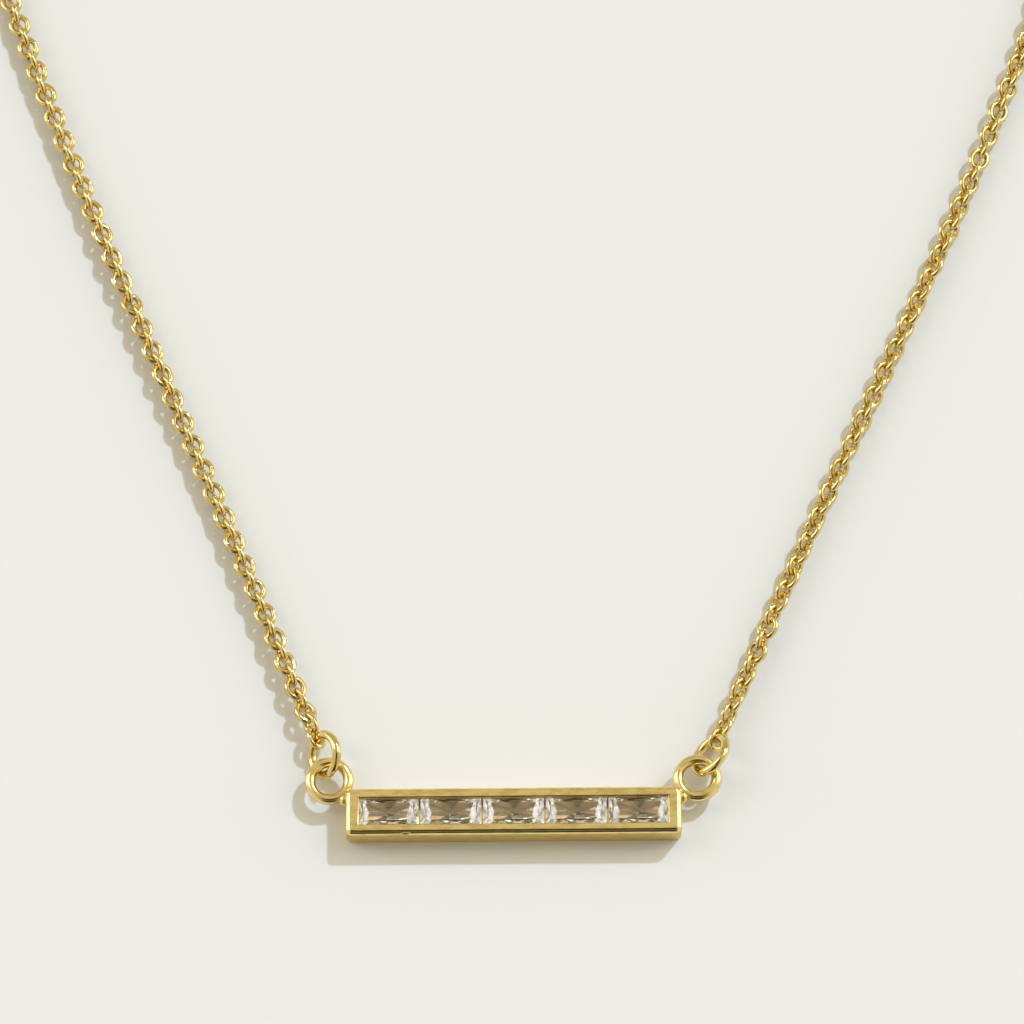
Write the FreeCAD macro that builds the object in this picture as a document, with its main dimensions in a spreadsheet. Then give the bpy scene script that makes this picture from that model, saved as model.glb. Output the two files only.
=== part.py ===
# Bar pendant necklace, lying on a flat surface in a closed loop.
#
# Millimetres. The origin is the middle of the bar's back face, on the surface that it lies on. +X runs along
# the bar, +Y points from the bar towards the nape of the neck, and +Z is up, out of the bar's front face.
import FreeCAD, Part
import Sketcher
import math
import os

from FreeCAD import Placement, Rotation, Vector

DOC_NAME = "BarPendant"
OUT_DIR = "parts"
Z_AXIS = Vector(0, 0, 1)
SIDES = (("left", -1), ("right", 1))
ARC_SHARE = 0.45  # share of the shorter run that each arc of the chain's route takes up
EDGE_TOLERANCE = 0.01  # an edge this near to a face's plane lies on it

# Driving dimensions: alias, value in millimetres or degrees, what it measures.
DIMENSIONS = (
    ("bar_length", 22.5, "bar, end to end"),
    ("bar_width", 3.24, "bar, lower edge to upper edge"),
    ("bar_depth", 2.2, "bar, back face to front face"),
    ("corner_round", 0.42, "rounding of the four upright corner edges"),
    ("front_round", 0.35, "rounding of the front edges"),
    ("back_round", 0.12, "rounding of the back edges"),
    ("window_length", 20.7, "opening in the front face, along the bar"),
    ("window_width", 1.8, "opening in the front face, across the bar"),
    ("channel_top", 1.8, "height of the rails' underside, which holds the stones down"),
    ("channel_floor", 0.55, "thickness of the bar's back"),
    ("channel_length", 20.96, "channel for the row of stones, along the bar"),
    ("channel_width", 2.06, "the same, across the bar"),
    ("stone_pitch", 4.2, "from the middle of one stone to the next"),
    ("stone_count", 5, "stones in the row"),
    ("stone_length", 4.08, "stone, along the bar"),
    ("stone_width", 2.0, "stone, across the bar"),
    ("girdle_height", 1.62, "height of the lower edge of the girdle"),
    ("girdle_depth", 0.08, "depth of the girdle"),
    ("crown_depth", 0.35, "from the girdle up to the table"),
    ("crown_run_end", 0.36, "from the girdle in to the table, at each end"),
    ("crown_run_side", 0.42, "the same, along each side"),
    ("pavilion_depth", 0.95, "from the girdle down to the culet"),
    ("pavilion_facets", 12, "facets round the pavilion's oval cone"),
    ("end_moon_slope", 37.0, "steepness of the half-moon facet at each end"),
    ("side_moon_slope", 62.0, "steepness of the half-moon facet along each side"),
    ("corner_ring_mid_radius", 1.28, "soldered ring, to the middle of its wire"),
    ("corner_ring_wire_radius", 0.355, "wire of the soldered ring"),
    ("corner_ring_x", 12.35, "middle of the soldered ring, from the middle of the bar"),
    ("corner_ring_y", 2.35, "middle of the soldered ring, above the bar's centre line"),
    ("corner_ring_z", 1.3, "height of the soldered ring"),
    ("solder_radius", 0.36, "bead of solder between ring and bar"),
    ("solder_y", 1.05, "middle of the bead, above the bar's centre line"),
    ("jump_ring_mid_radius", 1.36, "jump ring, to the middle of its wire"),
    ("jump_ring_wire_radius", 0.31, "wire of the jump ring"),
    ("jump_ring_tilt", 52.0, "lean of the jump ring, from flat"),
    ("link_outer_diameter", 1.55, "chain link, across its outside"),
    ("chain_height", 0.785, "height of the chain's centre line"),
    ("chain_start_height", 1.0, "the same, where the chain leaves its jump ring"),
    ("clasp_mid_radius", 2.3, "clasp, to the middle of its wire"),
    ("clasp_wire_radius", 0.45, "wire of the clasp"),
    ("clasp_tilt", 14.0, "lean of the clasp, which rests on the closing ring"),
    ("clasp_x", -0.1, "middle of the clasp"),
    ("eye_mid_radius", 0.8, "eye of the clasp, to the middle of its wire"),
    ("eye_wire_radius", 0.22, "wire of the eye"),
    ("closing_ring_mid_radius", 1.45, "closing ring, to the middle of its wire"),
    ("closing_ring_wire_radius", 0.3, "wire of the closing ring"),
    ("closing_ring_tilt", 65.0, "lean of the closing ring, from flat"),
    ("closing_ring_x", 2.4, "middle of the closing ring"),
    ("loop_top", 188.5, "from the bar's centre line to the clasp"),
    ("float_gap", 0.01, "between a leaning ring and the surface"),
)

# How far each jump ring's middle stands from the middle of its soldered ring, and in which direction, in
# degrees from +X. The left one is pulled tight, and the right one has a little slack.
JUMP_RING_PULL = {"left": 1.83, "right": 1.8}
JUMP_RING_HEADING = {"left": 100.8, "right": 60.2}

# The chain's route on the surface, from the jump ring round to the clasp. The lower points follow the
# photograph, and the upper ones close the loop.
ROUTE = {
    "left": (
        (-13.47, 5.95),
        (-17.4, 15.9),
        (-22.9, 29.05),
        (-30.3, 46.8),
        (-37.5, 66.5),
        (-43.4, 92.0),
        (-45.9, 120.0),
        (-43.6, 147.0),
        (-34.5, 170.0),
        (-19.5, 184.5),
        (-4.35, 188.5),
    ),
    "right": (
        (14.0, 5.6),
        (18.5, 15.8),
        (24.42, 28.6),
        (31.95, 44.65),
        (38.85, 62.5),
        (45.2, 86.5),
        (47.9, 114.0),
        (46.0, 141.5),
        (37.8, 165.5),
        (22.9, 182.2),
        (4.4, 188.5),
    ),
}


def fill_sheet(doc):
    """The spreadsheet of driving dimensions: name, value and meaning in one row each."""
    sheet = doc.addObject("Spreadsheet::Sheet", "Sizes")
    for row, (alias, value, meaning) in enumerate(DIMENSIONS, start=1):
        sheet.set(f"A{row}", alias)
        sheet.set(f"B{row}", str(value))
        sheet.set(f"C{row}", meaning)
        sheet.setAlias(f"B{row}", alias)
    doc.recompute()
    return sheet


def bind(target, **expressions):
    """Bind properties of an object to the sheet's cells."""
    for name, expression in expressions.items():
        target.setExpression(name, expression)


def origin_plane(body, role):
    """One of the body's own origin planes or axes, found by its role."""
    for feature in body.Origin.OriginFeatures:
        if feature.Role == role:
            return feature
    raise ValueError(f"{body.Name} has no {role}")


def add_rectangle(sketch, length, width):
    """A rectangle in the sketch, centred on its X axis, with its sizes bound to the sheet."""
    corners = (Vector(-1, -1, 0), Vector(1, -1, 0), Vector(1, 1, 0), Vector(-1, 1, 0))
    lines = []
    for start, end in zip(corners, corners[1:] + corners[:1]):
        lines.append(sketch.addGeometry(Part.LineSegment(start, end), False))
    bottom, right, top, left = lines
    for line, following in zip(lines, lines[1:] + lines[:1]):
        sketch.addConstraint(Sketcher.Constraint("Coincident", line, 2, following, 1))
    for line in (bottom, top):
        sketch.addConstraint(Sketcher.Constraint("Horizontal", line))
    for line in (left, right):
        sketch.addConstraint(Sketcher.Constraint("Vertical", line))
    driven = (
        ("length", Sketcher.Constraint("DistanceX", bottom, 1, bottom, 2, 2.0), length),
        ("width", Sketcher.Constraint("DistanceY", right, 1, right, 2, 2.0), width),
        ("from_middle", Sketcher.Constraint("DistanceX", -1, 1, bottom, 2, 1.0), f"{length} / 2"),
        ("below_middle", Sketcher.Constraint("DistanceY", bottom, 1, -1, 1, 1.0), f"{width} / 2"),
    )
    for name, constraint, expression in driven:
        index = sketch.addConstraint(constraint)
        sketch.renameConstraint(index, name)
        sketch.setExpression(f"Constraints.{name}", expression)


def new_sketch(body, name, height=None):
    """A sketch parallel to the back face, at a height bound to the sheet."""
    sketch = body.newObject("Sketcher::SketchObject", name)
    sketch.AttachmentSupport = (origin_plane(body, "XY_Plane"), [""])
    sketch.MapMode = "FlatFace"
    if height:
        sketch.setExpression("AttachmentOffset.Base.z", height)
    return sketch


def edge_names(shape, wanted):
    """Names of the edges whose every point passes the test."""
    names = []
    for number, edge in enumerate(shape.Edges, start=1):
        if all(wanted(point) for point in edge.discretize(3)):
            names.append(f"Edge{number}")
    return names


def make_bar(doc, sizes):
    """The cast bar: a block with round edges, a window in its front and a channel under the rails."""
    at_end = sizes.bar_length / 2 - EDGE_TOLERANCE
    at_side = sizes.bar_width / 2 - EDGE_TOLERANCE
    at_front = sizes.bar_depth - EDGE_TOLERANCE
    body = doc.addObject("PartDesign::Body", "Bar")
    outline = new_sketch(body, "BarOutline")
    add_rectangle(outline, "Sizes.bar_length", "Sizes.bar_width")
    block = body.newObject("PartDesign::Pad", "BarBlock")
    block.Profile = outline
    bind(block, Length="Sizes.bar_depth")
    doc.recompute()

    corners = body.newObject("PartDesign::Fillet", "CornerRounding")
    upright = edge_names(block.Shape, lambda point: abs(point.x) > at_end and abs(point.y) > at_side)
    corners.Base = (block, upright)
    bind(corners, Radius="Sizes.corner_round")
    doc.recompute()

    front = body.newObject("PartDesign::Fillet", "FrontRounding")
    front.Base = (corners, edge_names(corners.Shape, lambda point: point.z > at_front))
    bind(front, Radius="Sizes.front_round")
    doc.recompute()

    back = body.newObject("PartDesign::Fillet", "BackRounding")
    back.Base = (front, edge_names(front.Shape, lambda point: point.z < EDGE_TOLERANCE))
    bind(back, Radius="Sizes.back_round")
    doc.recompute()

    window_outline = new_sketch(body, "WindowOutline", "Sizes.bar_depth")
    add_rectangle(window_outline, "Sizes.window_length", "Sizes.window_width")
    window = body.newObject("PartDesign::Pocket", "Window")
    window.Profile = window_outline
    bind(window, Length="Sizes.bar_depth - Sizes.channel_top")

    channel_outline = new_sketch(body, "ChannelOutline", "Sizes.channel_top")
    add_rectangle(channel_outline, "Sizes.channel_length", "Sizes.channel_width")
    channel = body.newObject("PartDesign::Pocket", "Channel")
    channel.Profile = channel_outline
    bind(channel, Length="Sizes.channel_top - Sizes.channel_floor")
    body.Tip = channel
    doc.recompute()
    return body


def make_torus(doc, name, mid_radius, wire_radius):
    """A closed ring of round wire, flat on the XY plane about the origin."""
    ring = doc.addObject("Part::Torus", name)
    bind(ring, Radius1=f"Sizes.{mid_radius}", Radius2=f"Sizes.{wire_radius}")
    return ring


def fuse(doc, label, pieces):
    """Pieces soldered or cast together, as one solid."""
    joined = doc.addObject("Part::MultiFuse", label)
    joined.Label = label
    joined.Shapes = pieces
    return joined


def make_bar_setting(doc, sizes):
    """The bar with a flat ring soldered on each upper corner."""
    pieces = [make_bar(doc, sizes)]
    for side, sign in SIDES:
        place = Vector(sign * sizes.corner_ring_x, sizes.corner_ring_y, sizes.corner_ring_z)
        ring = make_torus(doc, f"corner_ring_{side}", "corner_ring_mid_radius", "corner_ring_wire_radius")
        ring.Placement = Placement(place, Rotation())
        bead = doc.addObject("Part::Sphere", f"solder_{side}")
        bind(bead, Radius="Sizes.solder_radius")
        bead_place = Vector(sign * (sizes.bar_length / 2 + sizes.solder_radius / 3), sizes.solder_y, place.z)
        bead.Placement = Placement(bead_place, Rotation())
        pieces += [ring, bead]
    return fuse(doc, "bar_setting", pieces)


def below_plane(point, normal, reach):
    """A block that fills the space behind a plane, on the side that the normal points away from."""
    block = Part.makeBox(2 * reach, 2 * reach, reach, Vector(-reach, -reach, -reach))
    block.Placement = Placement(point, Rotation(Z_AXIS, normal))
    return block


def crown_planes(sizes):
    """The table and four sloping sides, as a point and an outward normal each."""
    base = sizes.girdle_depth
    planes = [(Vector(0, 0, base + sizes.crown_depth), Z_AXIS)]
    for sign in (-1, 1):
        end = Vector(sign * sizes.crown_depth, 0, sizes.crown_run_end)
        long_side = Vector(0, sign * sizes.crown_depth, sizes.crown_run_side)
        planes.append((Vector(sign * sizes.stone_length / 2, 0, base), end))
        planes.append((Vector(0, sign * sizes.stone_width / 2, base), long_side))
    return planes


def pavilion_planes(sizes):
    """A half-moon under each side of the girdle, and a ring of facets round an oval cone down to the culet.

    The cone passes through the four corners of the girdle, so the half-moons end in points there.
    """
    half_length = sizes.stone_length / 2
    half_width = sizes.stone_width / 2
    end_slope = math.radians(sizes.end_moon_slope)
    side_slope = math.radians(sizes.side_moon_slope)
    planes = []
    for sign in (-1, 1):
        end = Vector(sign * math.sin(end_slope), 0, -math.cos(end_slope))
        long_side = Vector(0, sign * math.sin(side_slope), -math.cos(side_slope))
        planes.append((Vector(sign * half_length, 0, 0), end))
        planes.append((Vector(0, sign * half_width, 0), long_side))
    culet = Vector(0, 0, -sizes.pavilion_depth)
    steepness_along = sizes.pavilion_depth / (half_length * math.sqrt(2))
    steepness_across = sizes.pavilion_depth / (half_width * math.sqrt(2))
    facets = int(sizes.pavilion_facets)
    for index in range(facets):
        angle = 2 * math.pi * (index + 0.5) / facets
        outward = Vector(steepness_along * math.cos(angle), steepness_across * math.sin(angle), -1)
        planes.append((culet, outward))
    return planes


def cut_stone(sizes):
    """One stone about its own middle: a block with a plane cut for each facet."""
    depth = sizes.pavilion_depth + sizes.girdle_depth + sizes.crown_depth
    corner = Vector(-sizes.stone_length / 2, -sizes.stone_width / 2, -sizes.pavilion_depth)
    stone = Part.makeBox(sizes.stone_length, sizes.stone_width, depth, corner)
    for point, normal in crown_planes(sizes) + pavilion_planes(sizes):
        stone = stone.common(below_plane(point, normal, 2 * sizes.stone_length))
    return stone


def make_stones(doc, sizes):
    """The row of stones in the channel."""
    shape = cut_stone(sizes)
    stones = []
    for index in range(int(sizes.stone_count)):
        stone = doc.addObject("Part::Feature", f"stone_{index + 1}")
        stone.Label = f"stone_{index + 1}"
        stone.Shape = shape.copy()
        middle = (index - (sizes.stone_count - 1) / 2) * sizes.stone_pitch
        stone.Placement = Placement(Vector(middle, 0, sizes.girdle_height), Rotation())
        stones.append(stone)
    return stones


def leaning_ring_rotation(heading, tilt):
    """Turn a flat ring about its heading, in degrees from +X, so that the side on the right of it is up."""
    return Rotation(Z_AXIS, heading) * Rotation(Vector(1, 0, 0), -tilt)


def make_jump_ring(doc, sizes, side, sign):
    """A jump ring, hooked in the soldered ring and leaning with its inner side up."""
    label = f"jump_ring_{side}"
    ring = make_torus(doc, label, "jump_ring_mid_radius", "jump_ring_wire_radius")
    ring.Label = label
    heading = JUMP_RING_HEADING[side]
    away = Rotation(Z_AXIS, heading).multVec(Vector(JUMP_RING_PULL[side], 0, 0))
    lean = math.sin(math.radians(sizes.jump_ring_tilt))
    height = sizes.jump_ring_mid_radius * lean + sizes.jump_ring_wire_radius + sizes.float_gap
    place = Vector(sign * sizes.corner_ring_x + away.x, sizes.corner_ring_y + away.y, height)
    ring.Placement = Placement(place, leaning_ring_rotation(heading, sizes.jump_ring_tilt))
    return ring


def rounded_route(points):
    """Straight runs through the points, joined by the largest tangent arcs that the runs allow."""
    edges = []
    radii = []
    run_start = points[0]
    for before, corner, after in zip(points, points[1:], points[2:]):
        back = (before - corner).normalize()
        ahead = (after - corner).normalize()
        half_turn = (math.pi - back.getAngle(ahead)) / 2
        setback = ARC_SHARE * min(before.distanceToPoint(corner), corner.distanceToPoint(after))
        radius = setback / math.tan(half_turn)
        radii.append(radius)
        arc_start = corner + back * setback
        arc_end = corner + ahead * setback
        towards_centre = (back + ahead).normalize()
        to_middle = radius / math.cos(half_turn) - radius
        edges.append(Part.LineSegment(run_start, arc_start).toShape())
        edges.append(Part.Arc(arc_start, corner + towards_centre * to_middle, arc_end).toShape())
        run_start = arc_end
    edges.append(Part.LineSegment(run_start, points[-1]).toShape())
    return Part.Wire(edges), radii


def make_chain(doc, sizes, side):
    """Half of the chain, as a round tube over its links."""
    points = [Vector(x, y, sizes.chain_height) for x, y in ROUTE[side]]
    points[0].z = sizes.chain_start_height
    wire, radii = rounded_route(points)
    print(f"chain_{side}: length {wire.Length:.1f} mm, arc radii", [round(radius, 1) for radius in radii])

    route = doc.addObject("Part::Feature", f"route_{side}")
    route.Shape = wire
    section = doc.addObject("Part::Circle", f"section_{side}")
    bind(section, Radius="Sizes.link_outer_diameter / 2")
    section.Placement = Placement(points[0], Rotation(Z_AXIS, points[1] - points[0]))

    tube = doc.addObject("Part::Sweep", f"chain_{side}")
    tube.Label = f"chain_{side}"
    tube.Sections = [section]
    tube.Spine = (route, [])
    tube.Solid = True
    tube.Frenet = False
    doc.recompute()
    expected = math.pi * (sizes.link_outer_diameter / 2) ** 2 * wire.Length
    print(f"chain_{side}: volume {tube.Shape.Volume:.2f}, section times length {expected:.2f}")
    return tube


def make_clasp(doc, sizes):
    """The clasp: a plain ring with an eye for the chain, leaning on the closing ring."""
    ring = make_torus(doc, "clasp_ring", "clasp_mid_radius", "clasp_wire_radius")
    eye = make_torus(doc, "clasp_eye", "eye_mid_radius", "eye_wire_radius")
    eye_offset = sizes.clasp_mid_radius + sizes.eye_mid_radius
    lean = Rotation(Vector(0, 1, 0), -sizes.clasp_tilt)
    drop = (sizes.clasp_mid_radius + sizes.eye_mid_radius) * math.sin(math.radians(sizes.clasp_tilt))
    height = drop + sizes.clasp_wire_radius + sizes.float_gap
    middle = Vector(sizes.clasp_x, sizes.loop_top, height)
    ring.Placement = Placement(middle, lean)
    eye.Placement = Placement(middle + lean.multVec(Vector(-eye_offset, 0, 0)), lean)
    return fuse(doc, "clasp", [ring, eye])


def make_closing_ring(doc, sizes):
    """The ring that the clasp closes on."""
    ring = make_torus(doc, "closing_ring", "closing_ring_mid_radius", "closing_ring_wire_radius")
    ring.Label = "closing_ring"
    lean = math.sin(math.radians(sizes.closing_ring_tilt))
    height = sizes.closing_ring_mid_radius * lean + sizes.closing_ring_wire_radius + sizes.float_gap
    place = Vector(sizes.closing_ring_x, sizes.loop_top, height)
    ring.Placement = Placement(place, leaning_ring_rotation(0, sizes.closing_ring_tilt))
    return ring


def check_document(doc, nodes):
    """Stop if any object failed to build or any piece is not one valid solid."""
    for item in doc.Objects:
        if "Invalid" in item.State or "Error" in item.State:
            raise RuntimeError(f"{item.Name} failed: {item.State}")
    for node in nodes:
        if node.Shape.isNull() or not node.Shape.isValid() or len(node.Shape.Solids) != 1:
            raise RuntimeError(f"{node.Label} is not one valid solid")


def main():
    doc = FreeCAD.newDocument(DOC_NAME)
    sizes = fill_sheet(doc)
    nodes = [make_bar_setting(doc, sizes)]
    nodes += make_stones(doc, sizes)
    for side, sign in SIDES:
        nodes.append(make_jump_ring(doc, sizes, side, sign))
        nodes.append(make_chain(doc, sizes, side))
    nodes.append(make_clasp(doc, sizes))
    nodes.append(make_closing_ring(doc, sizes))
    doc.recompute()
    check_document(doc, nodes)
    os.makedirs(OUT_DIR, exist_ok=True)
    for node in nodes:
        node.Shape.exportStep(os.path.join(OUT_DIR, f"{node.Label}.step"))
        print(f"{node.Label}: {node.Shape.Volume:.2f} mm3")


main()
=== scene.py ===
# %% [markdown]
# # A bar pendant necklace on a pale table
#
# The necklace is a cast bar with five baguette stones, hung from a fine chain. It lies flat on a table in a closed
# loop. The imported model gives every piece's true place, and this lesson dresses it: each metal solid is replaced by a
# smooth modelled piece, each tube by real chain links, and each stone by a cut one.
#
# Everything is in metres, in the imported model's own frame: +X runs along the bar, +Y points to the clasp, and +Z is
# up, out of the bar's front.

# %% Load the frame
import math
import random

import bmesh
import bpy
from mathutils import Matrix, Vector


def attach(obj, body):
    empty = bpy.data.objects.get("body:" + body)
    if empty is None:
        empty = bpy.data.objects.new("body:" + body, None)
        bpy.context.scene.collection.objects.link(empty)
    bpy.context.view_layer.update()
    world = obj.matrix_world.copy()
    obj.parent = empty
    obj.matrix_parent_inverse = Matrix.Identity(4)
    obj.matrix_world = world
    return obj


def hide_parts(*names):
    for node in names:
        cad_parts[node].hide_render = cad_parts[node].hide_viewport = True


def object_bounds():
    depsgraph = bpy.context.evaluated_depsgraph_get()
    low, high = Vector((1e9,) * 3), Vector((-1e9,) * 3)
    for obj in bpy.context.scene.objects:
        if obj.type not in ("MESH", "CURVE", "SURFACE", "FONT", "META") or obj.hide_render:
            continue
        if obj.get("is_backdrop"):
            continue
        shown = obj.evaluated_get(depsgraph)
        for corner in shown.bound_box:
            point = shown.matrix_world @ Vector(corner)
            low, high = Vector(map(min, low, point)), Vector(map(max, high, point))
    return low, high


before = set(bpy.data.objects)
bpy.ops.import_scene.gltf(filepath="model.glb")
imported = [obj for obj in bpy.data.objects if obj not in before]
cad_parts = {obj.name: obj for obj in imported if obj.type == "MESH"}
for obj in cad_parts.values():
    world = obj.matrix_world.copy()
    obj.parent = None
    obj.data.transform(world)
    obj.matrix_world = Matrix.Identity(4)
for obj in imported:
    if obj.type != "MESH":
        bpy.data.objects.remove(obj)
cad_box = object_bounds()
MM = 0.001
Z_UP = Vector((0, 0, 1))
ROOT = "root"
print("nodes:", ", ".join(sorted(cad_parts)))

# %% [markdown]
# ## The camera
#
# The photograph looks down steeply at a small thing with a long lens, so its lines hardly converge. A camera close by
# with a wide lens would frame the bar too, but it would spread the chain. This one stands 400 mm off, 72 degrees above
# the table. It is rolled by half a degree, because the bar rises a little to the right in the picture.

# %% Set up the camera
CAMERA_DISTANCE = 400 * MM
CAMERA_ELEVATION = math.radians(72.0)
CAMERA_ROLL = math.radians(-0.45)
LOOK_AT = Vector((0.05, 21.66, 0)) * MM
LENS_MM = 205.7

away = Vector((0, -math.cos(CAMERA_ELEVATION), math.sin(CAMERA_ELEVATION)))
turn = Matrix.Rotation(math.pi / 2 - CAMERA_ELEVATION, 4, "X") @ Matrix.Rotation(CAMERA_ROLL, 4, "Z")
bpy.ops.object.camera_add(location=LOOK_AT + away * CAMERA_DISTANCE, rotation=turn.to_euler())
camera = bpy.context.object
camera.name = "camera"
camera.data.lens = LENS_MM
camera.data.sensor_width = 36.0
camera.data.clip_start = 10 * MM
camera.data.clip_end = 100.0
bpy.context.scene.camera = camera
print("camera at", [round(c, 4) for c in camera.location])

# %% [markdown]
# ## Helpers for modelling by hand
#
# An operator acts on whatever is selected, and loading the frame leaves its nodes selected. So each step first clears
# the selection, and faces and edges are then picked in code, by their place or their normal. By hand the same is done
# with the mouse, and in code a short test stands for it.


# %% Selection helpers
def only(*pieces):
    """Leave object mode's selection as these pieces alone, the first of them active."""
    if bpy.context.mode != "OBJECT":
        bpy.ops.object.mode_set(mode="OBJECT")
    bpy.ops.object.select_all(action="DESELECT")
    for piece in pieces:
        piece.select_set(True)
    bpy.context.view_layer.objects.active = pieces[0]


def edit(piece, kind="FACE"):
    """Open a piece in edit mode with nothing selected."""
    only(piece)
    bpy.ops.object.mode_set(mode="EDIT")
    bpy.ops.mesh.select_mode(type=kind)
    bpy.ops.mesh.select_all(action="DESELECT")


def pick(piece, kind, wanted):
    """In edit mode, select only the faces, edges or vertices that pass the test, and say how many."""
    bpy.ops.mesh.select_mode(type=kind)
    bpy.ops.mesh.select_all(action="DESELECT")
    shape = bmesh.from_edit_mesh(piece.data)
    parts = {"FACE": shape.faces, "EDGE": shape.edges, "VERT": shape.verts}[kind]
    chosen = [part for part in parts if wanted(part)]
    for part in chosen:
        part.select_set(True)
    shape.select_flush_mode()
    bmesh.update_edit_mesh(piece.data)
    return len(chosen)


# %% [markdown]
# ## Helpers for finishing a piece
#
# Spinning, bisecting and joining leave doubled points and can turn faces inwards, so every mesh is closed and turned
# outwards at the end. A piece's place belongs in its mesh, with the object left at the origin, because the patterns of
# the materials go by the object's own coordinates. The last helper also says which imported solids a piece stands for.


# %% Finishing helpers
def close_mesh(piece):
    """Merge doubled points, turn every face outwards and go back to object mode."""
    edit(piece)
    bpy.ops.mesh.select_all(action="SELECT")
    bpy.ops.mesh.remove_doubles(threshold=0.0005 * MM)
    bpy.ops.mesh.normals_make_consistent(inside=False)
    bpy.ops.object.mode_set(mode="OBJECT")


def apply_modifier(piece, kind, **settings):
    """Add a modifier, set it up and apply it."""
    only(piece)
    modifier = piece.modifiers.new(kind.title(), kind)
    for name, value in settings.items():
        setattr(modifier, name, value)
    bpy.ops.object.modifier_apply(modifier=modifier.name)


def place_in_mesh(piece, matrix):
    """Move a piece's mesh, and leave its object at the origin, unturned and unscaled."""
    piece.data.transform(matrix @ piece.matrix_world)
    piece.matrix_world = Matrix.Identity(4)


def finish_piece(piece, name, material, slot, *nodes):
    """Name a finished piece, give it its material and say which solids it stands for."""
    place_in_mesh(piece, Matrix.Identity(4))
    piece.name = name
    piece.data.name = name
    piece.data.materials.clear()
    piece.data.materials.append(material)
    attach(piece, ROOT)
    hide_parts(*nodes)
    print(f"{name}: {len(piece.data.polygons)} faces, stands for {', '.join(nodes)}")


# %% [markdown]
# ## Helpers for materials
#
# A material is a small graph of nodes. With the mouse it is wired by hand, and in code that takes many lines. These
# helpers make a node, a smooth step, a sum and a blend of two colours, so that a material reads like a recipe.


# %% Node helpers
def new_node(tree, kind, **inputs):
    """A node with its sockets set by name."""
    node = tree.nodes.new(kind)
    for name, value in inputs.items():
        node.inputs[name.replace("_", " ")].default_value = value
    return node


def soft_step(tree, source, low, high):
    """A value that rises smoothly from 0 to 1 between two levels of its source."""
    step = tree.nodes.new("ShaderNodeMapRange")
    step.interpolation_type = "SMOOTHSTEP"
    step.inputs["From Min"].default_value = low
    step.inputs["From Max"].default_value = high
    tree.links.new(source, step.inputs["Value"])
    return step.outputs["Result"]


def maths(tree, operation, *inputs):
    """One sum on sockets or plain numbers."""
    node = tree.nodes.new("ShaderNodeMath")
    node.operation = operation
    for socket, value in zip(node.inputs, inputs):
        if isinstance(value, (int, float)):
            socket.default_value = value
        else:
            tree.links.new(value, socket)
    return node.outputs[0]


def mix_colours(tree, share, first, second):
    """Blend two colours, each a socket or a plain colour."""
    blend = tree.nodes.new("ShaderNodeMix")
    blend.data_type = "RGBA"
    tree.links.new(share, blend.inputs["Factor"])
    for socket, colour in ((blend.inputs[6], first), (blend.inputs[7], second)):
        if isinstance(colour, tuple):
            socket.default_value = colour
        else:
            tree.links.new(colour, socket)
    return blend.outputs[2]


# %% [markdown]
# ## The gold finish
#
# The metal is brass under a thin plate of pale yellow gold, tumbled and buffed by hand. A mirror would be too clean:
# buffing leaves the surface very slightly wavy, and handling leaves faint smears and a breath of tarnish. The bar and
# the chain both show them, at different strengths, so they are one node group that puts out a roughness, a normal and a
# mask for the tarnish, whose grain runs along the bar as the buffing did.


# %% The polish group
GRAIN_STRETCH = (0.4, 1.0, 1.0)
GRAIN_EDGE = (0.4, 0.65)
WAVE_DEPTH = 0.02 * MM


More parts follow.
